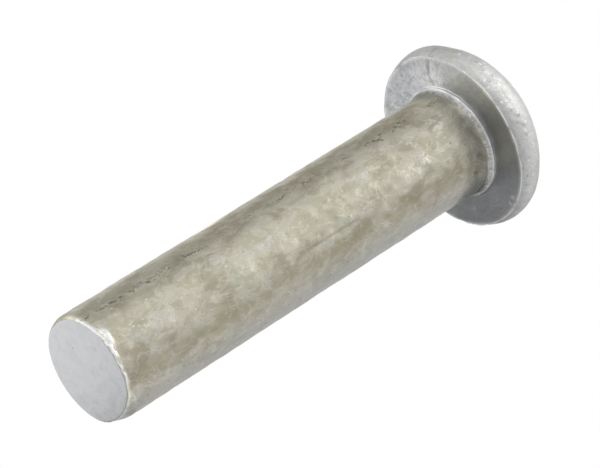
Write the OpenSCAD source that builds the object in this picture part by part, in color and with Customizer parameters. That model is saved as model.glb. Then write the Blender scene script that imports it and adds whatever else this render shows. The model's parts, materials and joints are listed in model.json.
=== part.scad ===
// Round head rivet: one piece of mild steel bar, cropped to length and cold headed.
// It stands on its cropped end at z = 0, with its axis on Z and the head on top.

/* [Shank] */
// Diameter of the shank
shank_d = 8; // [6:0.5:10]
// Length from the bearing face under the head to the cropped end
shank_l = 35; // [12:1:80]

/* [Head] */
// Diameter of the head across its rim
head_d = 14; // [13:0.5:18]
// Height of the head from the bearing face to the crown
head_h = 5.2; // [4:0.1:7]
// Radius that rounds the rim
rim_r = 1.6; // [1.3:0.1:2]
// Height of the rim's widest circle above the bearing face
rim_rise = 1.05; // [0.6:0.05:1.2]

/* [Neck] */
// Width of the collar that the heading die leaves round the shank
collar_w = 0.3; // [0.1:0.05:0.6]
// Length of the hollow flare between the shank and the collar
flare_l = 0.65; // [0.6:0.05:1.5]
// Step from the collar's edge to the bearing face
collar_step = 0.1; // [0.05:0.05:0.4]

/* [Cropped end] */
// Radius of the roll-over that the shear leaves round the end
roll_r = 0.4; // [0.3:0.05:0.8]
// Shift of the roll-over, which makes it deep on the -X side and sharp on the +X side
roll_shift = 0.17; // [0:0.01:0.3]
// Depth of the flat that the shear blade pinched into the sharp side
pinch_depth = 0.24; // [0.1:0.02:0.5]
// Height of that flat above the end
pinch_h = 0.9; // [0.5:0.1:3]
// Direction that the flat faces, in degrees from +X
pinch_dir = -12; // [-60:1:60]

/* [Hidden] */
$fn = 96;
// Two arcs that only touch leave a sliver, so one is moved this far and they cross cleanly.
seam = 0.0002;

shank_r = shank_d / 2;
head_r = head_d / 2;
collar_r = shank_r + collar_w;
neck_l = flare_l + collar_step;

// The crown is the ball that touches the top of the head and runs smoothly into the rim.
rim_x = head_r - rim_r;
crown_drop = head_h - rim_rise;
crown_r = (rim_x^2 + crown_drop^2 - rim_r^2) / (2 * (crown_drop - rim_r));
crown_z = head_h - crown_r;
// The angle, from the rim's centre, at which the two meet
crown_angle = atan2(rim_rise - crown_z, rim_x);

// The flare is an arc that leaves the shank's wall smoothly and ends at the collar's edge.
flare_r = (collar_w^2 + flare_l^2) / (2 * collar_w);

// The slice of a circle between two angles
module sector(r, from, to) {
    reach = 3 * r;
    middle = (from + to) / 2;
    intersection() {
        circle(r = r);
        polygon([
            [0, 0],
            reach * [cos(from), sin(from)],
            reach * [cos(middle), sin(middle)],
            reach * [cos(to), sin(to)]
        ]);
    }
}

// Half of the head's section: crown, rounded rim and flat bearing face. Each of the three
// pieces runs on a little inside the next, so no gap is left where they meet.
module head_section() {
    overlap = 5;
    intersection() {
        union() {
            translate([0, crown_z]) sector(crown_r - seam, crown_angle, 90);
            translate([rim_x, rim_rise]) sector(rim_r, -90 - overlap, crown_angle + overlap);
            polygon([
                [0, 0],
                [rim_x, 0],
                [rim_x + rim_r / 2, rim_rise],
                [rim_x, rim_rise + rim_r / 2],
                [0, max(rim_rise, crown_z)]
            ]);
        }
        square(head_d);
    }
}

// Half of the neck's section: the collar's step, and the hollow flare down to the shank
module neck_section() {
    difference() {
        translate([0, -neck_l]) square([collar_r, neck_l]);
        translate([shank_r + flare_r, -neck_l]) circle(r = flare_r + seam);
    }
}

// The envelope that the shear's roll-over leaves: a column with a rounded foot, which is
// wider than the shank all round, so only its foot takes anything off
module rolled_column() {
    spare = roll_r / 8;
    column_r = shank_r + roll_shift + spare;
    translate([roll_shift, 0, 0]) rotate_extrude() {
        square([column_r - roll_r, shank_l]);
        translate([0, roll_r]) square([column_r, shank_l]);
        translate([column_r - roll_r, roll_r]) sector(roll_r, -90, 0);
    }
}

// What the shear blade pressed away: a flat that leans out until it meets the shank's wall
module pinched_flat() {
    below = 1;
    lean = atan2(pinch_depth, pinch_h);
    rotate(pinch_dir)
        translate([shank_r - pinch_depth, -shank_r, 0])
            rotate([0, lean, 0])
                translate([0, 0, -below]) cube([shank_r, shank_d, below + 2 * pinch_h]);
}

// The shank with its cropped end. It runs up into the neck and ends level with the step.
module shank() {
    difference() {
        intersection() {
            cylinder(r = shank_r, h = shank_l - collar_step);
            rolled_column();
        }
        pinched_flat();
    }
}

module rivet() {
    color([0.66, 0.65, 0.6]) {
        shank();
        translate([0, 0, shank_l]) rotate_extrude() {
            head_section();
            neck_section();
        }
    }
}

rivet();
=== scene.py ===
"""Round head rivet in bare steel: headed cold from drawn bar, sheared to length, and scuffed since."""

import json
import math

import bmesh
import bpy
from mathutils import Matrix, Vector, noise
from mathutils.geometry import intersect_point_line


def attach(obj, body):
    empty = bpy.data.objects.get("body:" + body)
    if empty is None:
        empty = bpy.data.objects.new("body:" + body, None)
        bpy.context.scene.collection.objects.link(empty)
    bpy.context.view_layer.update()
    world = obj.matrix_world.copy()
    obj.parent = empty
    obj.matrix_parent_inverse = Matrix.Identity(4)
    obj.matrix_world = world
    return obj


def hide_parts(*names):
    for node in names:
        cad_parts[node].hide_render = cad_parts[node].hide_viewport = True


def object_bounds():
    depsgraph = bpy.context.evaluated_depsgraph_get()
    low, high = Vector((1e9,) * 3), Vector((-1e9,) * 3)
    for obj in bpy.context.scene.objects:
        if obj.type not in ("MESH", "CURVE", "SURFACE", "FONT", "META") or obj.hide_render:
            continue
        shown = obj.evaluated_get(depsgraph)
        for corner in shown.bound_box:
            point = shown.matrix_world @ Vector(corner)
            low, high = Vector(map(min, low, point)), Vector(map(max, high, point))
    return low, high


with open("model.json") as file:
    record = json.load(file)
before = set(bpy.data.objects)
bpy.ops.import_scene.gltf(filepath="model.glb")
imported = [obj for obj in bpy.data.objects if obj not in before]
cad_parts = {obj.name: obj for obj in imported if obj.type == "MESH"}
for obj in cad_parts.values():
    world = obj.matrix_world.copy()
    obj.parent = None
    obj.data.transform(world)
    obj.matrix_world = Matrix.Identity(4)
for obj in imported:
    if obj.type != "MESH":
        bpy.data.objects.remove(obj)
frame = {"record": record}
cad_low, cad_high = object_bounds()

# ---- The blank -------------------------------------------------------------------------------
# One piece of mild steel bar, upset cold at one end. It is turned here from a single outline that
# runs from the middle of the sheared end, up the shank, round the neck and the rim, to the crown.

mm = 0.001
mounts = {mount["name"]: mount for mount in frame["record"]["mounts"]}
shank_r = mounts["shank"]["dims"]["r_mm"] * mm
bearing_z = mounts["under_head"]["pos_m"][2]
head_r = cad_high.x
crown_top = cad_high.z

roll = 0.5 * mm         # the rounded edge of the sheared end, before it is shaped
border = 0.03 * mm      # a narrow ring just inside that edge, which keeps it crisp
lower_end = 2 * mm      # how far up the shank the shear has marked it
neck_w = 0.3 * mm       # how far the neck stands out from the shank
neck_l = 0.65 * mm      # length of its hollow flare
neck_kink = 10          # degrees it turns sharply by, where it leaves the shank
neck_step = 0.1 * mm    # from the end of the flare up to the bearing face
rim_r = 1.6 * mm
rim_rise = 1.05 * mm    # from the bearing face to the middle of the rim
foot_angle = 10         # degrees of the rim, at its foot, that are turned in finer steps
edge_r = 0.06 * mm      # the small rounds that the die leaves on its edges
turns = 300             # steps in one full turn


def line_to(bm, start, x, z, steps):
    """Draws a straight line from the vertex start, in equal steps."""
    step = (Vector((x, 0, z)) - start.co) / steps
    for _ in range(steps):
        drawn = bmesh.ops.extrude_vert_indiv(bm, verts=[start])["verts"][0]
        drawn.co = start.co + step
        start = drawn
    return start


def arc_to(bm, start, centre, degrees, steps):
    """Swings the vertex start round a centre in the XZ plane, from X towards Z."""
    swung = bmesh.ops.spin(
        bm, geom=[start], cent=(centre[0], 0, centre[1]), axis=(0, -1, 0),
        angle=math.radians(degrees), steps=steps, use_duplicate=False,
    )
    return [item for item in swung["geom_last"] if isinstance(item, bmesh.types.BMVert)][0]


# The crown is part of a ball that runs smoothly into the rim.
rim_x = head_r - rim_r
rim_z = bearing_z + rim_rise
drop = crown_top - rim_z
crown_r = (rim_x**2 + drop**2 - rim_r**2) / (2 * (drop - rim_r))
crown_z = crown_top - crown_r
crown_angle = math.degrees(math.atan2(rim_z - crown_z, rim_x))
rim_start = math.degrees(math.asin(rim_rise / rim_r))
bearing_r = rim_x + math.sqrt(rim_r**2 - rim_rise**2)
flare_angle = 2 * (math.degrees(math.atan2(neck_w, neck_l)) - neck_kink)
flare_r = math.hypot(neck_w, neck_l) / (2 * math.sin(math.radians(flare_angle / 2)))
neck_z = bearing_z - neck_step - neck_l

body = bmesh.new()
pen = body.verts.new((0, 0, 0))
pen = line_to(body, pen, shank_r - roll - border, 0, 15)
pen = line_to(body, pen, shank_r - roll, 0, 1)
pen = arc_to(body, pen, (shank_r - roll, roll), 90, 12)
pen = line_to(body, pen, shank_r, lower_end, 14)
pen = line_to(body, pen, shank_r, neck_z, 160)
kink = math.radians(neck_kink)
flare_centre = (shank_r + flare_r * math.cos(kink), neck_z - flare_r * math.sin(kink))
neck_edge = arc_to(body, pen, flare_centre, -flare_angle, 10)
pen = line_to(body, neck_edge, shank_r + neck_w, bearing_z, 1)
bearing_edge = line_to(body, pen, bearing_r, bearing_z, 18)
pen = arc_to(body, bearing_edge, (rim_x, rim_z), foot_angle, 8)
pen = arc_to(body, pen, (rim_x, rim_z), rim_start + crown_angle - foot_angle, 22)
pen = arc_to(body, pen, (0, crown_z), 90 - crown_angle, 30)
bmesh.ops.bevel(
    body, geom=[neck_edge, bearing_edge], offset=edge_r, offset_type="OFFSET",
    segments=3, profile=0.5, affect="VERTICES", material=-1,
)
bmesh.ops.spin(
    body, geom=body.verts[:] + body.edges[:], cent=(0, 0, 0), axis=(0, 0, 1),
    angle=2 * math.pi, steps=turns, use_merge=True, use_duplicate=False,
)
bmesh.ops.remove_doubles(body, verts=body.verts, dist=0.001 * mm)
bmesh.ops.recalc_face_normals(body, faces=body.faces)

# ---- The sheared end -------------------------------------------------------------------------
# The bar was cut to length without a chamfer. The blade drew its edge over on one side, left a
# burr along another, and the stop pinched the wall beside the burr nearly flat.

rolled_side = 180       # where the edge was drawn over, in degrees round from X
pinch_start, pinch_end = -53, 35
burr_start, burr_end = -158, -56
burr_gap = -83          # where the burr nearly stops
tongue = -109           # where it was smeared up the wall
bead_out = 0.09 * mm    # how far the burr stands out
tongue_out = 0.1 * mm


def azimuth_of(point):
    """How many degrees round from X a point lies."""
    return math.degrees(math.atan2(point.y, point.x))


def bump(away, spread):
    """1 where away is 0, and falling off smoothly over spread on both sides."""
    return math.exp(-((away / spread) ** 2))


def swell(azimuth, centre, spread):
    """The same round the rivet, in degrees from a centre."""
    return bump((azimuth - centre + 180) % 360 - 180, spread)


def ramp(value, start, end):
    """Goes smoothly from 0 at start to 1 at end."""
    part = min(max((value - start) / (end - start), 0), 1)
    return part * part * (3 - 2 * part)


def drawn_over(radius, height, inset, rise, flatness):
    """Gives the rounded edge its real size: how far in and how far up it goes, and how flat it is."""
    if height > roll:
        return radius, rise + (height - roll) * (lower_end - rise) / (lower_end - roll)
    inward = min((shank_r - radius) / roll, 1)
    if inward == 1:
        return min(radius * (shank_r - inset) / (shank_r - roll), radius + roll - inset), height
    shaped_radius = shank_r - inset * (1 - (1 - inward) ** flatness)
    shaped_height = rise * (1 - (1 - height / roll) ** flatness)
    return shaped_radius, shaped_height


def sheared(point):
    """Where the shear left a point of the lower end, and how bright its torn metal is: new metal, with a
    painted glint along the burr.
    """
    azimuth = azimuth_of(point)
    rolled = swell(azimuth, rolled_side, 32)
    pinched = 0
    if pinch_start < azimuth < pinch_end:
        pinched = math.sin(math.pi * (azimuth - pinch_start) / (pinch_end - pinch_start))
    burred = ramp(azimuth, burr_start, burr_start + 45) * ramp(azimuth, burr_end + 3, burr_end - 5)

    inset = (0.09 - 0.02 * burred + 0.3 * rolled + 0.3 * pinched) * mm
    rise = (0.3 + 0.25 * rolled + 0.6 * pinched) * mm
    flatness = 1 + 1.2 * max(pinched, burred)
    radius, height = drawn_over(point.xy.length, point.z, inset, rise, flatness)

    # The burr is a thin bead round the edge, and a tongue of it was smeared up the wall.
    facing = point.normalized()
    ragged = 1 + 0.8 * noise.noise(facing * 9) + 0.5 * noise.noise(facing * 25)
    bead = max(burred * (1 - 0.8 * swell(azimuth, burr_gap, 4)), 0.6 * ramp(pinched, 0, 0.3)) * ragged
    up_wall = height / mm - 0.08
    beaded = bead * bump(up_wall, 0.17 if up_wall > 0 else 0.07)
    up_tongue = height / mm - 0.5 + 0.01 * (azimuth - tongue)
    smear = swell(azimuth, tongue, 10) * bump(up_tongue, 0.2) * ragged
    radius += bead_out * beaded + tongue_out * smear
    turn = math.radians(azimuth)
    moved = Vector((radius * math.cos(turn), radius * math.sin(turn), height))
    return moved, min(1.5 * max(bead * bump(up_wall, 0.17), smear), 1)


fresh_and_glint = body.verts.layers.float.new("fresh_and_glint")
for vert in body.verts:
    if vert.co.z < lower_end:
        vert.co, vert[fresh_and_glint] = sheared(vert.co)

# ---- Blows and rubbing -----------------------------------------------------------------------
# The bar was never quite true, and the die left its own skin and a little flash on the head.
# Loose in a box with its fellows, the rivet has since been nicked, creased and rubbed.

broad_wave, fine_wave = 0.018 * mm, 0.024 * mm      # how uneven the bar is
head_calm = 0.012 * mm  # how much less so the head is, and how far its skin lies below the bar's
crease_w = 0.1 * mm
crease_depth = 0.08 * mm
flash_w = 0.1 * mm      # the flash on the neck's edge and on the bearing face's
flash_out = 0.085 * mm
seam = -138             # where a row of pits runs up the wall, in degrees round from X
far_film_and_shade = -70          # where the film and its painted shade thicken again, further round

dings = [       # azimuth, radius, height, then how wide, how deep and how bright inside
    (-25, 6.20, 35.0, 0.16, 0.06, 0.7),
    (-21, 6.58, 35.0, 0.14, 0.06, 1),
    (-19, 6.26, 35.0, 0.12, 0.05, 0.9),
    (135, 6.28, 35.0, 0.2, 0.05, 0),
    (-67, 6.72, 35.1, 0.2, 0.05, 0.5),
    (-40, 4.0, 33.5, 0.35, 0.05, 0),
    (-83, 6.98, 35.8, 0.22, 0.04, 0.5),
    (-91, 6.99, 35.9, 0.2, 0.04, 1),
    (-112, 6.99, 36.2, 0.25, 0.05, 0.5),
    (23, 5.2, 35.0, 0.2, 0.05, 0),
    (-148, 6.6, 37.1, 1.3, 0.1, 0),
    (60, 6.9, 36.6, 0.8, 0.06, 0),
    (100, 3.0, 39.6, 0.5, 0.05, 0.3),
]
creases = [     # how dark each one is, then the places along it as azimuth, radius and height
    (0.35, (-153.5, 7.0, 36.0), (-153.8, 6.94, 35.6), (-153.9, 6.76, 35.2), (-154.1, 6.6, 35.0)),
    (0.5, (-154.1, 6.6, 35.0), (-154.4, 6.2, 35.0), (-158.7, 5.3, 35.0), (-155.6, 4.5, 35.0)),
    (0.4, (-79.3, 6.95, 35.7), (-75.1, 7.0, 36.2)),
    (0.25, (-74, 4.0, 21.7), (-75, 4.0, 17.5)),
    (0.35, (-47, 4.0, 33.2), (-43, 4.0, 33.8)),
    (0.3, (-64, 4.0, 33.8), (-61, 4.0, 34.1)),
    (0.25, (112, 4.0, 26.0), (109, 4.0, 20.0)),
]
rub_and_glint_spots = [    # azimuth and height, then how far round and how far along
    (-109, 24.0, 7, 1.8),
    (-88, 28.5, 9, 1.6),
    (-120, 27.2, 6, 1.0),
    (-103, 15.0, 5, 2.0),
    (-70, 3.3, 4, 1.0),
    (-112, 11.0, 5, 0.8),
    (-81, 23.2, 5, 1.4),
    (-68, 19.2, 4, 1.0),
    (-52, 24.2, 5, 0.7),
    (-68, 13.0, 4, 1.2),
    (-98, 4.0, 12, 2.0),
    (-112, 32.0, 14, 0.6),
    (20, 12.0, 12, 4.0),
    (75, 27.0, 10, 3.0),
    (120, 8.0, 14, 5.0),
    (155, 21.0, 8, 3.0),
    (-102, 36.0, 18, 0.5),
]
painted_light_spots = [    # the same, where the head is painted pale, as painted light
    (-45, 36.1, 30, 0.5),
    (-158, 35.0, 17, 0.1),
]


def place_at(azimuth, radius, height):
    """The point at an azimuth in degrees, and a radius and height in millimetres."""
    turn = math.radians(azimuth)
    return Vector((radius * math.cos(turn), radius * math.sin(turn), height)) * mm


def dinged(point):
    """How deep the dings are at a point, and how much bright metal they have laid bare."""
    depth = bright = 0
    for azimuth, radius, height, width, deepest, brightest in dings:
        if abs(point.z - height * mm) < 3 * width * mm:
            inside = bump((point - place_at(azimuth, radius, height)).length, width * mm)
            depth += deepest * mm * inside
            bright = max(bright, brightest * inside)
    return depth, bright


def creased(point):
    """How strongly a point lies in a crease: this sets the crease's depth and the painted shade in it."""
    darkest = 0
    for dark, *places in creases:
        ends = [place_at(*place) for place in places]
        for start, end in zip(ends, ends[1:]):
            share = min(max(intersect_point_line(point, start, end)[1], 0), 1)
            inside = bump((point - start.lerp(end, share)).length, crease_w)
            darkest = max(darkest, dark * inside)
    return darkest


def spotted(point, spots):
    """How far a point is inside any of some spots."""
    azimuth = azimuth_of(point)
    return max(
        swell(azimuth, middle, around) * bump(point.z / mm - height, along)
        for middle, height, around, along in spots
    )


def rub_and_glint_at(point):
    """How much a point has been worn bright by rubbing, with painted glints laid on it."""
    return spotted(point, rub_and_glint_spots)


def painted_light_at(point):
    """How much painted light a point of the head has."""
    return spotted(point, painted_light_spots)


def wobble(point):
    """How many degrees a line along the wall strays by, at a point's height."""
    height = point.z / mm
    return 6 * noise.noise(Vector((0, 0, height / 3))) + 5 * noise.noise(Vector((5, 0, height / 0.7)))


def scored(point):
    """How close a point of the wall is to the seam, which comes and goes along its length."""
    strength = ramp(noise.noise(Vector((0, 0, point.z / (2.2 * mm)))), -0.3, 0.2)
    return swell(azimuth_of(point), seam + wobble(point), 4) * strength


def film_and_shade_at(point):
    """How thick the olive coat is at a point of the wall, past the seam or on the far side, with painted
    shade beyond the edges of the highlight.
    """
    azimuth = azimuth_of(point)
    strayed = azimuth - wobble(point)
    past_seam = ramp(strayed, seam + 3, seam - 5) * ramp(azimuth, -178, seam - 14)
    past_seam *= 1.3 - 0.9 * ramp(point.z, 15 * mm, 9 * mm)
    far_side = ramp(strayed, far_film_and_shade, far_film_and_shade + 8) * ramp(azimuth, -30, -50)
    return max(past_seam, far_side)


def bared_and_sheened(point):
    """How much of the olive coat is gone from a point of the wall, beyond where it lies thickest; there it
    is painted a grey sheen.
    """
    azimuth = azimuth_of(point)
    return ramp(azimuth - wobble(point), -60, -25) * ramp(azimuth, 40, 10)


def under_head_shade_at(point):
    """How much painted shade a point of the neck or the bearing face has."""
    azimuth = azimuth_of(point)
    below_face = bearing_z - 0.03 * mm
    if point.z < below_face:
        return ramp(point.z, neck_z - 1.3 * mm, neck_z - 0.2 * mm) * swell(azimuth, -158, 36)
    # The face carries painted shade for more than half of the way round, and a little at its edge
    # elsewhere.
    round_face = ramp(azimuth, -135, -108) * ramp(azimuth, 65, 35) * (0.66 + 0.34 * ramp(azimuth, -15, 10))
    at_edge = ramp(point.xy.length, 5.2 * mm, 6.5 * mm) * swell(azimuth, 180, 40)
    return max(round_face, 0.6 * at_edge)


def flash_at(point):
    """How much flash there is at a point, by the nearer of the two edges that carry it."""
    from_edge = min(
        math.hypot(point.xy.length - bearing_r, point.z - bearing_z),
        math.hypot(point.xy.length - shank_r - 0.8 * neck_w, point.z - bearing_z + 2 * neck_step),
    )
    return bump(from_edge, flash_w) * (0.9 + noise.noise(point / (0.9 * mm)))


def skin_at(point):
    """How far the skin stands out at a point, from a broad and a fine unevenness."""
    on_head = ramp(point.z, neck_z, bearing_z - neck_step)
    on_wall = ramp(point.z, 0, 0.4 * mm)
    broad = broad_wave * noise.noise(point / (2.4 * mm))
    fine = (fine_wave - head_calm * on_head) * noise.noise(point / (0.75 * mm) + Vector((7, 3, 5)))
    return (broad + fine) * on_wall - head_calm * on_head


# Each mark is worked out at every point of the mesh and stored there, for the finishes to read.
# Torn and dinged metal is all fresh, and the flashed edges are painted bright as well, a painted
# highlight.
marks = {
    "shaded_crease": creased, "rub_and_glint": rub_and_glint_at, "painted_light": painted_light_at, "score": scored,
    "film_and_shade": film_and_shade_at, "bare": bared_and_sheened, "under_head_shade": under_head_shade_at,
}
layers = {name: body.verts.layers.float.new(name) for name in marks}
fresh_and_glint = body.verts.layers.float["fresh_and_glint"]    # found again, because adding layers moves it
body.normal_update()
for vert in body.verts:
    point = vert.co.copy()
    for name, measure in marks.items():
        vert[layers[name]] = measure(point)
    depth, bright = dinged(point)
    flash = flash_at(point)
    # The flashed edges get a painted highlight line in the same mark.
    vert[fresh_and_glint] = max(vert[fresh_and_glint], min(flash, 1), bright)
    depth += crease_depth * vert[layers["shaded_crease"]]
    vert.co += vert.normal * (skin_at(point) - depth)
    vert.co += Vector((point.x, point.y, 0)).normalized() * flash_out * flash
    vert.co.z = max(vert.co.z, 0)

mesh = bpy.data.meshes.new("rivet_body")
body.to_mesh(mesh)
body.free()
mesh.shade_smooth()
rivet = bpy.data.objects.new("rivet_body", mesh)
bpy.context.scene.collection.objects.link(rivet)

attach(rivet, "root")
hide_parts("rivet")

# ---- The drawn skin of the shank -------------------------------------------------------------
# The shank keeps the dull, faintly olive film of soap and oxide that it was drawn with, painted darker
# beyond the edges of the highlight as painted shade. It is mottled, pitted along one seam, and brightened
# in flecks where it has been rubbed, with painted glints among them.


def add_node(tree, kind, sockets, **settings):
    """Adds a shader node, and sets each of its sockets to a value or joins it to another socket."""
    made = tree.nodes.new("ShaderNode" + kind)
    for name, value in settings.items():
        setattr(made, name, value)
    for name, value in sockets.items():
        if isinstance(value, bpy.types.NodeSocket):
            tree.links.new(value, made.inputs[name])
        else:
            made.inputs[name].default_value = value
    return made


def calculate(tree, operation, *values):
    """The result of a Math node on one to three values."""
    return add_node(tree, "Math", dict(enumerate(values)), operation=operation).outputs[0]


def product(tree, one, other):
    """One value times another."""
    return calculate(tree, "MULTIPLY", one, other)


def graded(tree, mask, at_none, at_full):
    """A number that goes from one value where the mask is 0 to another where it is 1."""
    return calculate(tree, "MULTIPLY_ADD", mask, at_full - at_none, at_none)


def sum_of(tree, *terms):
    """Adds up products: each term is a mask and what it is multiplied by."""
    total = 0
    for mask, factor in terms:
        total = calculate(tree, "MULTIPLY_ADD", mask, factor, total)
    return total


def rise_between(tree, value, low, high):
    """Goes smoothly from 0 where the value is low to 1 where it is high."""
    ranged = {"Value": value, "From Min": low, "From Max": high}
    return add_node(tree, "MapRange", ranged, interpolation_type="SMOOTHSTEP").outputs["Result"]


def mixed(tree, mask, below, above):
    """The colour below with the colour above laid on it where the mask is 1."""
    mix = add_node(tree, "Mix", {0: mask, 6: below, 7: above}, data_type="RGBA")
    return mix.outputs[2]


def start_group(name, inputs, output):
    """Begins a node group that reads a place on the piece and some numbers, and gives one value."""
    group = bpy.data.node_groups.new(name, "ShaderNodeTree")
    group.interface.new_socket("Place", in_out="INPUT", socket_type="NodeSocketVector")
    for socket, usual in inputs.items():
        made = group.interface.new_socket(socket, in_out="INPUT", socket_type="NodeSocketFloat")
        made.default_value = usual
    group.interface.new_socket(output, in_out="OUTPUT", socket_type="NodeSocketFloat")
    given = group.nodes.new("NodeGroupInput").outputs
    result = group.nodes.new("NodeGroupOutput").inputs[output]
    return group, given, result


def make_blotches():
    """Cloudy patches on about a share of the surface. Size is in millimetres."""
    group, given, result = start_group("blotches", {"Size": 1, "Share": 0.5, "Softness": 0.1}, "Mask")
    scale = calculate(group, "DIVIDE", 1, given["Size"])
    cloud = {"Vector": given["Place"], "Scale": scale, "Detail": 2, "Roughness": 0.6, "Distortion": 0.5}
    value = add_node(group, "TexNoise", cloud).outputs["Fac"]
    level = graded(group, given["Share"], 0.7, 0.3)
    low = calculate(group, "SUBTRACT", level, given["Softness"])
    high = calculate(group, "ADD", level, given["Softness"])
    group.links.new(rise_between(group, value, low, high), result)
    return group


def make_pits():
    """Small round spots, each in its own cell, in a share of the cells."""
    group, given, result = start_group("pits", {"Size": 1, "Share": 0.3, "Radius": 0.2}, "Mask")
    scale = calculate(group, "DIVIDE", 1, given["Size"])
    cells = add_node(group, "TexVoronoi", {"Vector": given["Place"], "Scale": scale})
    chance = add_node(group, "SeparateColor", {"Color": cells.outputs["Color"]}).outputs["Red"]
    chosen = calculate(group, "LESS_THAN", chance, given["Share"])
    spot = rise_between(group, cells.outputs["Distance"], given["Radius"], 0)
    group.links.new(product(group, spot, chosen), result)
    return group


def make_grain():
    """The height of a fine unevenness, from 0 to 1."""
    group, given, result = start_group("grain", {"Size": 1, "Harshness": 0.6}, "Height")
    scale = calculate(group, "DIVIDE", 1, given["Size"])
    rough = {"Vector": given["Place"], "Scale": scale, "Detail": 5, "Roughness": given["Harshness"]}
    group.links.new(add_node(group, "TexNoise", rough).outputs["Fac"], result)
    return group


blotches, pits, grain = make_blotches(), make_pits(), make_grain()


def effect(tree, group, place, **values):
    """Places one of the groups in a material, with its own values."""
    return add_node(tree, "Group", {"Place": place, **values}, node_tree=group).outputs[0]


def start_finish(name, stretch):
    """Begins a steel finish, with its place in millimetres. Patterns are stretch times as long as wide."""
    material = bpy.data.materials.new(name)
    material.use_nodes = True
    tree = material.node_tree
    shader = tree.nodes["Principled BSDF"]
    shader.inputs["Metallic"].default_value = 1
    coordinates = add_node(tree, "TexCoord", {}).outputs["Object"]
    scaled = {"Vector": coordinates, "Scale": (1 / mm, 1 / mm, 1 / mm / stretch)}
    place = add_node(tree, "Mapping", scaled).outputs["Vector"]
    height = add_node(tree, "SeparateXYZ", {"Vector": coordinates}).outputs["Z"]
    return material, tree, shader, place, height


def mark(tree, name):
    """One of the marks stored on the mesh."""
    return add_node(tree, "Attribute", {}, attribute_name=name).outputs["Fac"]


def finish_off(tree, shader, colour, roughness, relief):
    """Joins up a finish. The relief is in millimetres."""
    bumps = add_node(tree, "Bump", {"Height": relief, "Distance": mm, "Strength": 1})
    tree.links.new(colour, shader.inputs["Base Color"])
    tree.links.new(roughness, shader.inputs["Roughness"])
    tree.links.new(bumps.outputs["Normal"], shader.inputs["Normal"])


drawn, tree, shader, place, height = start_finish("drawn_skin", 1.6)
wide = effect(tree, blotches, place, Size=3.2, Share=0.5, Softness=0.2)
green = effect(tree, blotches, place, Size=1.7, Share=0.45, Softness=0.15)
small = effect(tree, blotches, place, Size=1.2, Share=0.45, Softness=0.12)
dim = effect(tree, blotches, place, Size=1.5, Share=0.3, Softness=0.13)
worn = effect(tree, blotches, place, Size=0.9, Share=0.5, Softness=0.1)
rub_and_glint, fresh_metal_and_glint = mark(tree, "rub_and_glint"), mark(tree, "fresh_and_glint")
fleck = effect(tree, blotches, place, Size=0.35, Share=graded(tree, rub_and_glint, 0.2, 0.55), Softness=0.06)
glint_fleck = product(tree, fleck, graded(tree, rub_and_glint, 0.3, 0.8))
outline = effect(tree, blotches, place, Size=1.2, Share=0.5, Softness=0.03)
glint_curl = product(tree, outline, graded(tree, outline, 4, 0))
score_share = product(tree, mark(tree, "score"), 0.65)
pit = effect(tree, blotches, place, Size=0.16, Share=score_share, Softness=0.06)
speck = effect(tree, pits, place, Size=1.4, Share=0.25, Radius=0.08)
glint_spot = effect(tree, pits, place, Size=1.0, Share=0.45, Radius=0.1)
soft = effect(tree, grain, place, Size=1.7, Harshness=0.45)
fine = effect(tree, grain, place, Size=0.3, Harshness=0.6)
neck_shade = rise_between(tree, height, neck_z - 2 * mm, neck_z - 0.7 * mm)
flare_shade = rise_between(tree, height, neck_z - 0.05 * mm, neck_z + 0.1 * mm)

colour = mixed(tree, wide, (0.62, 0.60, 0.45, 1), (0.705, 0.645, 0.515, 1))
colour = mixed(tree, green, colour, (0.665, 0.66, 0.525, 1))
colour = mixed(tree, small, colour, (0.81, 0.77, 0.64, 1))
colour = mixed(tree, dim, colour, (0.54, 0.495, 0.385, 1))
# Painted shade on the shank near the head.
colour = mixed(tree, product(tree, neck_shade, 0.5), colour, (0.48, 0.465, 0.385, 1))
# The film darkens the wall past the seam and on the far side, partly as painted shade beyond the
# highlight's edges.
film_and_shade = product(tree, mark(tree, "film_and_shade"), graded(tree, worn, 0.6, 0.1))
colour = mixed(tree, film_and_shade, colour, (0.54, 0.48, 0.325, 1))
# Bare metal under a painted grey sheen, the reflection of the pale surroundings along the lower side.
bare_metal_and_sheen = mixed(tree, fine, (0.56, 0.56, 0.54, 1), (0.86, 0.86, 0.84, 1))
colour = mixed(tree, product(tree, mark(tree, "bare"), 0.65), colour, bare_metal_and_sheen)
# Painted glints: white flecks in the rubbed spots, thin bright curls, and sparks.
colour = mixed(tree, glint_fleck, colour, (1.0, 0.98, 0.89, 1))
colour = mixed(tree, product(tree, glint_curl, 0.28), colour, (1.0, 0.98, 0.90, 1))
colour = mixed(tree, product(tree, pit, 0.75), colour, (0.26, 0.25, 0.19, 1))
colour = mixed(tree, product(tree, speck, 0.7), colour, (0.26, 0.25, 0.19, 1))
colour = mixed(tree, glint_spot, colour, (1.0, 0.99, 0.95, 1))
# Painted shade on the shank just below the head.
colour = mixed(tree, mark(tree, "under_head_shade"), colour, (0.27, 0.26, 0.21, 1))
# Painted shade in the corner where the flare leaves the shank.
colour = mixed(tree, product(tree, flare_shade, 0.8), colour, (0.28, 0.275, 0.24, 1))
# Creases are painted dark, as painted shade in their grooves.
colour = mixed(tree, mark(tree, "shaded_crease"), colour, (0.2, 0.19, 0.17, 1))
# Fresh metal, with a painted highlight along the burr.
colour = mixed(tree, fresh_metal_and_glint, colour, (0.95, 0.95, 0.93, 1))
roughness = sum_of(tree, (small, -0.04), (glint_fleck, -0.2), (fresh_metal_and_glint, 0.2), (1, 0.34))
relief = sum_of(tree, (soft, 0.13), (fine, 0.011), (fleck, 0.003), (pit, -0.015))
finish_off(tree, shader, colour, roughness, relief)

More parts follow.
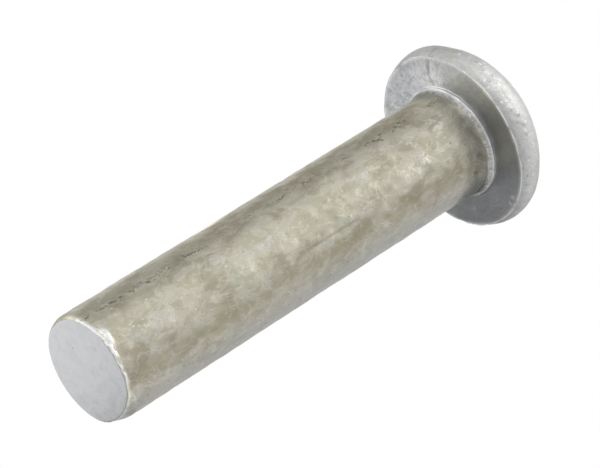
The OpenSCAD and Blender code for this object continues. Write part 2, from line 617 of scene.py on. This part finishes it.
# ---- The struck head -------------------------------------------------------------------------
# Upsetting broke the film off the head and neck, so they are paler and bluer than the shank. The
# rim is rubbed nearly white, with painted highlights in its brightest band, and the bearing face and the
# hollow by the neck carry painted shade.

struck, tree, shader, place, height = start_finish("struck_head", 1)
cloud = effect(tree, blotches, place, Size=2.2, Share=0.5, Softness=0.15)
mottle = effect(tree, blotches, place, Size=0.4, Share=0.4, Softness=0.08)
stain = effect(tree, blotches, place, Size=1.3, Share=0.35, Softness=0.13)
rub_and_glint, under_head_shade, fresh_metal_and_glint = mark(tree, "rub_and_glint"), mark(tree, "under_head_shade"), mark(tree, "fresh_and_glint")
pit = effect(tree, pits, place, Size=0.6, Share=graded(tree, rub_and_glint, 0.2, 0.9), Radius=0.18)
glint_spot = effect(tree, pits, place, Size=0.5, Share=graded(tree, rub_and_glint, 0.12, 0.92), Radius=0.32)
dimple = effect(tree, pits, place, Size=0.75, Share=product(tree, rub_and_glint, 0.9), Radius=0.45)
fleck = effect(tree, blotches, place, Size=0.4, Share=0.5, Softness=0.05)
peel = effect(tree, grain, place, Size=0.45, Harshness=0.65)
on_rim = rise_between(tree, height, bearing_z, bearing_z + 0.15 * mm)
above_foot = rise_between(tree, height, bearing_z + 0.2 * mm, bearing_z + 0.9 * mm)
rim_foot_shade = calculate(tree, "SUBTRACT", on_rim, above_foot)
on_neck = rise_between(tree, height, bearing_z - 0.02 * mm, bearing_z - 0.06 * mm)
# Painted shade on the bearing face and in the hollow by the neck, off the rim.
below_rim = product(tree, under_head_shade, graded(tree, on_rim, 1, 0))
# Rubbed metal, painted white where the rim's highlight falls: a painted highlight.
rubbed_glint = product(tree, rub_and_glint, graded(tree, fleck, 0.35, 1))

colour = mixed(tree, cloud, (0.58, 0.60, 0.62, 1), (0.63, 0.645, 0.655, 1))
scuffed = mixed(tree, fleck, (0.47, 0.46, 0.43, 1), (0.76, 0.755, 0.72, 1))
colour = mixed(tree, on_neck, colour, scuffed)
paler = mixed(tree, cloud, (0.67, 0.68, 0.67, 1), (0.73, 0.74, 0.72, 1))
paler = mixed(tree, product(tree, stain, 0.6), paler, (0.68, 0.68, 0.61, 1))
colour = mixed(tree, on_rim, colour, paler)
# Painted shade along the foot of the rim.
colour = mixed(tree, product(tree, rim_foot_shade, 0.4), colour, (0.40, 0.41, 0.41, 1))
# Painted light: pale spots on the rim and the bearing face.
colour = mixed(tree, product(tree, mark(tree, "painted_light"), 0.6), colour, (1.0, 1.0, 0.98, 1))
colour = mixed(tree, rubbed_glint, colour, (1.0, 1.0, 0.98, 1))
colour = mixed(tree, below_rim, colour, (0.405, 0.41, 0.425, 1))
shaded_scuffed = mixed(tree, fleck, (0.25, 0.25, 0.24, 1), (0.42, 0.42, 0.40, 1))
# Darker scuffed metal where the painted shade lies on the neck.
colour = mixed(tree, product(tree, below_rim, on_neck), colour, shaded_scuffed)
mottled = product(tree, mottle, graded(tree, on_rim, 0.35, 0.18))
colour = mixed(tree, mottled, colour, (0.40, 0.41, 0.41, 1))
# Painted glints on the rim.
colour = mixed(tree, product(tree, glint_spot, on_rim), colour, (1.0, 1.0, 0.98, 1))
colour = mixed(tree, product(tree, pit, 0.6), colour, (0.25, 0.25, 0.25, 1))
# Creases are painted dark, as painted shade in their grooves.
colour = mixed(tree, mark(tree, "shaded_crease"), colour, (0.2, 0.2, 0.19, 1))
# Fresh metal in the dings, and a painted highlight along the flashed edges.
colour = mixed(tree, fresh_metal_and_glint, colour, (0.97, 0.97, 0.96, 1))
roughness = sum_of(
    tree, (on_rim, 0.16), (on_neck, 0.1), (rubbed_glint, -0.2), (fresh_metal_and_glint, 0.1),
    (mottle, 0.05), (1, 0.35),
)
peel_depth = sum_of(tree, (on_rim, 0.06), (on_neck, 0.07), (1, 0.04))
dimple_depth = product(tree, on_rim, 0.12)
relief = sum_of(
    tree, (peel, peel_depth), (dimple, dimple_depth), (rubbed_glint, 0.03), (pit, -0.02),
)
finish_off(tree, shader, colour, roughness, relief)

# ---- The sheared face ------------------------------------------------------------------------
# Fresh metal, smeared flat by the blade and since gone to a soft satin.

cut, tree, shader, place, _ = start_finish("sheared_face", 1)
cloud = effect(tree, blotches, place, Size=2.5, Share=0.5, Softness=0.12)
mottle = effect(tree, blotches, place, Size=0.9, Share=0.4, Softness=0.1)
pit = effect(tree, pits, place, Size=1.0, Share=0.25, Radius=0.12)
peel = effect(tree, grain, place, Size=0.8, Harshness=0.5)
colour = mixed(tree, cloud, (0.57, 0.58, 0.60, 1), (0.62, 0.63, 0.64, 1))
colour = mixed(tree, product(tree, mottle, 0.45), colour, (0.52, 0.53, 0.54, 1))
colour = mixed(tree, pit, colour, (0.4, 0.4, 0.4, 1))
roughness = sum_of(tree, (cloud, 0.05), (1, 0.34))
relief = sum_of(tree, (peel, 0.02), (pit, -0.01))
finish_off(tree, shader, colour, roughness, relief)

# The drawn skin ends raggedly, part way up the flare.
finishes = [drawn, struck, cut]
for finish in finishes:
    mesh.materials.append(finish)
for face in mesh.polygons:
    film_end = neck_z + (0.25 + 0.2 * noise.noise(face.center / (0.8 * mm))) * mm
    on_end = face.center.z < 0.03 * mm and face.normal.z < -0.9
    if face.center.z > film_end:
        face.material_index = finishes.index(struck)
    elif on_end:
        face.material_index = finishes.index(cut)

# ---- Camera ----------------------------------------------------------------------------------
# A long lens below and in front of the rivet, rolled so that the head lies at the upper right.

aim = Vector((-0.19 * mm, 0, 19.8 * mm))
distance = 213.3 * mm
elevation = math.radians(-33.17)
tilt = math.radians(57.81)

lens = bpy.data.cameras.new("camera")
lens.lens = 185.2
lens.sensor_width = 36
lens.clip_start = 1 * mm
camera = bpy.data.objects.new("camera", lens)
facing = Matrix.Rotation(math.pi / 2 - elevation, 4, "X") @ Matrix.Rotation(tilt, 4, "Z")
camera.matrix_world = Matrix.Translation(aim) @ facing @ Matrix.Translation((0, 0, distance))
bpy.context.scene.collection.objects.link(camera)
bpy.context.scene.camera = camera

# ---- Studio ----------------------------------------------------------------------------------
# A white room with large, soft-edged lights, and two small round ones that reach the sheared face
# and the bearing face.

sky = bpy.data.worlds.new("studio")
sky.use_nodes = True
tree = sky.node_tree
direction = add_node(tree, "TexCoord", {}).outputs["Generated"]
soft_lights = [         # towards each light, how tight it is, and how bright
    ((-0.05, -0.32, 0.95), 7.3, 2.15),      # overhead
    ((-0.64, -0.76, -0.09), 10.9, 1.61),    # beside the camera, to its left
    ((0.25, -0.97, -0.07), 9.3, 0.95),      # and to its right
    ((-0.8, -0.25, 0.55), 14, 0.1),         # high on the left
    ((-0.83, 0.26, -0.49), 3.0, 1.38),      # low on the left
    ((0.95, -0.12, -0.1), 4.7, 1.12),       # low on the right
    ((0.31, 0.72, 0.62), 4.2, 0.45),        # high behind, on the right
    ((-0.35, 0.76, 0.55), 24, 0.4),         # high behind, on the left
    ((0, 1, 0.12), 16, 0.5),                # low behind
]
glow = 0
for towards, tightness, strength in soft_lights:
    facing_it = {0: direction, 1: Vector(towards).normalized()}
    cosine = add_node(tree, "VectorMath", facing_it, operation="DOT_PRODUCT").outputs["Value"]
    falloff = calculate(tree, "EXPONENT", calculate(tree, "MULTIPLY_ADD", cosine, tightness, -tightness))
    glow = sum_of(tree, (falloff, strength), (1, glow))
to_camera = add_node(tree, "LightPath", {}).outputs["Is Camera Ray"]
shown = add_node(tree, "Mix", {0: to_camera, 2: glow, 3: 1.0}).outputs[0]
background = tree.nodes["Background"]
background.inputs["Color"].default_value = (1, 1, 1, 1)
tree.links.new(shown, background.inputs["Strength"])
bpy.context.scene.world = sky
bpy.context.scene.view_settings.view_transform = "Standard"


def add_light(name, place, towards, width, brightness):
    """Adds a round soft light. Its place and aim are in millimetres."""
    light = bpy.data.lights.new(name, "AREA")
    light.shape = "DISK"
    light.size = width * mm
    light.energy = brightness * (math.pi * light.size / 2) ** 2
    lamp = bpy.data.objects.new(name, light)
    lamp.location = Vector(place) * mm
    beam = Vector(towards) - Vector(place)
    lamp.rotation_euler = beam.to_track_quat("-Z", "Y").to_euler()
    lamp.visible_camera = False
    bpy.context.scene.collection.objects.link(lamp)


add_light("end_light", (-3.9, 20, -12.5), (0, 0, 0), 18, 0.78)
add_light("head_light", (-7, 16, 24), (-5, -2, 35), 7, 1.1)

# ---- Floor -----------------------------------------------------------------------------------
# A pale table top just under the rivet. It only shows from above, so the camera sees past it.

table = bmesh.new()
bmesh.ops.create_circle(table, cap_ends=True, segments=96, radius=1500 * mm)
table_mesh = bpy.data.meshes.new("floor")
table.to_mesh(table_mesh)
table.free()
floor = bpy.data.objects.new("floor", table_mesh)
floor.location.z = -0.05 * mm
for rays in ("shadow", "diffuse", "glossy", "transmission"):
    setattr(floor, "visible_" + rays, False)
bpy.context.scene.collection.objects.link(floor)

pale = bpy.data.materials.new("pale_table")
pale.use_nodes = True
tree = pale.node_tree
shader = tree.nodes["Principled BSDF"]
shader.inputs["Base Color"].default_value = (0.95, 0.95, 0.94, 1)
shader.inputs["Roughness"].default_value = 0.8
underside = add_node(tree, "NewGeometry", {}).outputs["Backfacing"]
nothing = add_node(tree, "BsdfTransparent", {}).outputs["BSDF"]
one_sided = add_node(tree, "MixShader", {0: underside, 1: shader.outputs["BSDF"], 2: nothing})
tree.links.new(one_sided.outputs["Shader"], tree.nodes["Material Output"].inputs["Surface"])
table_mesh.materials.append(pale)
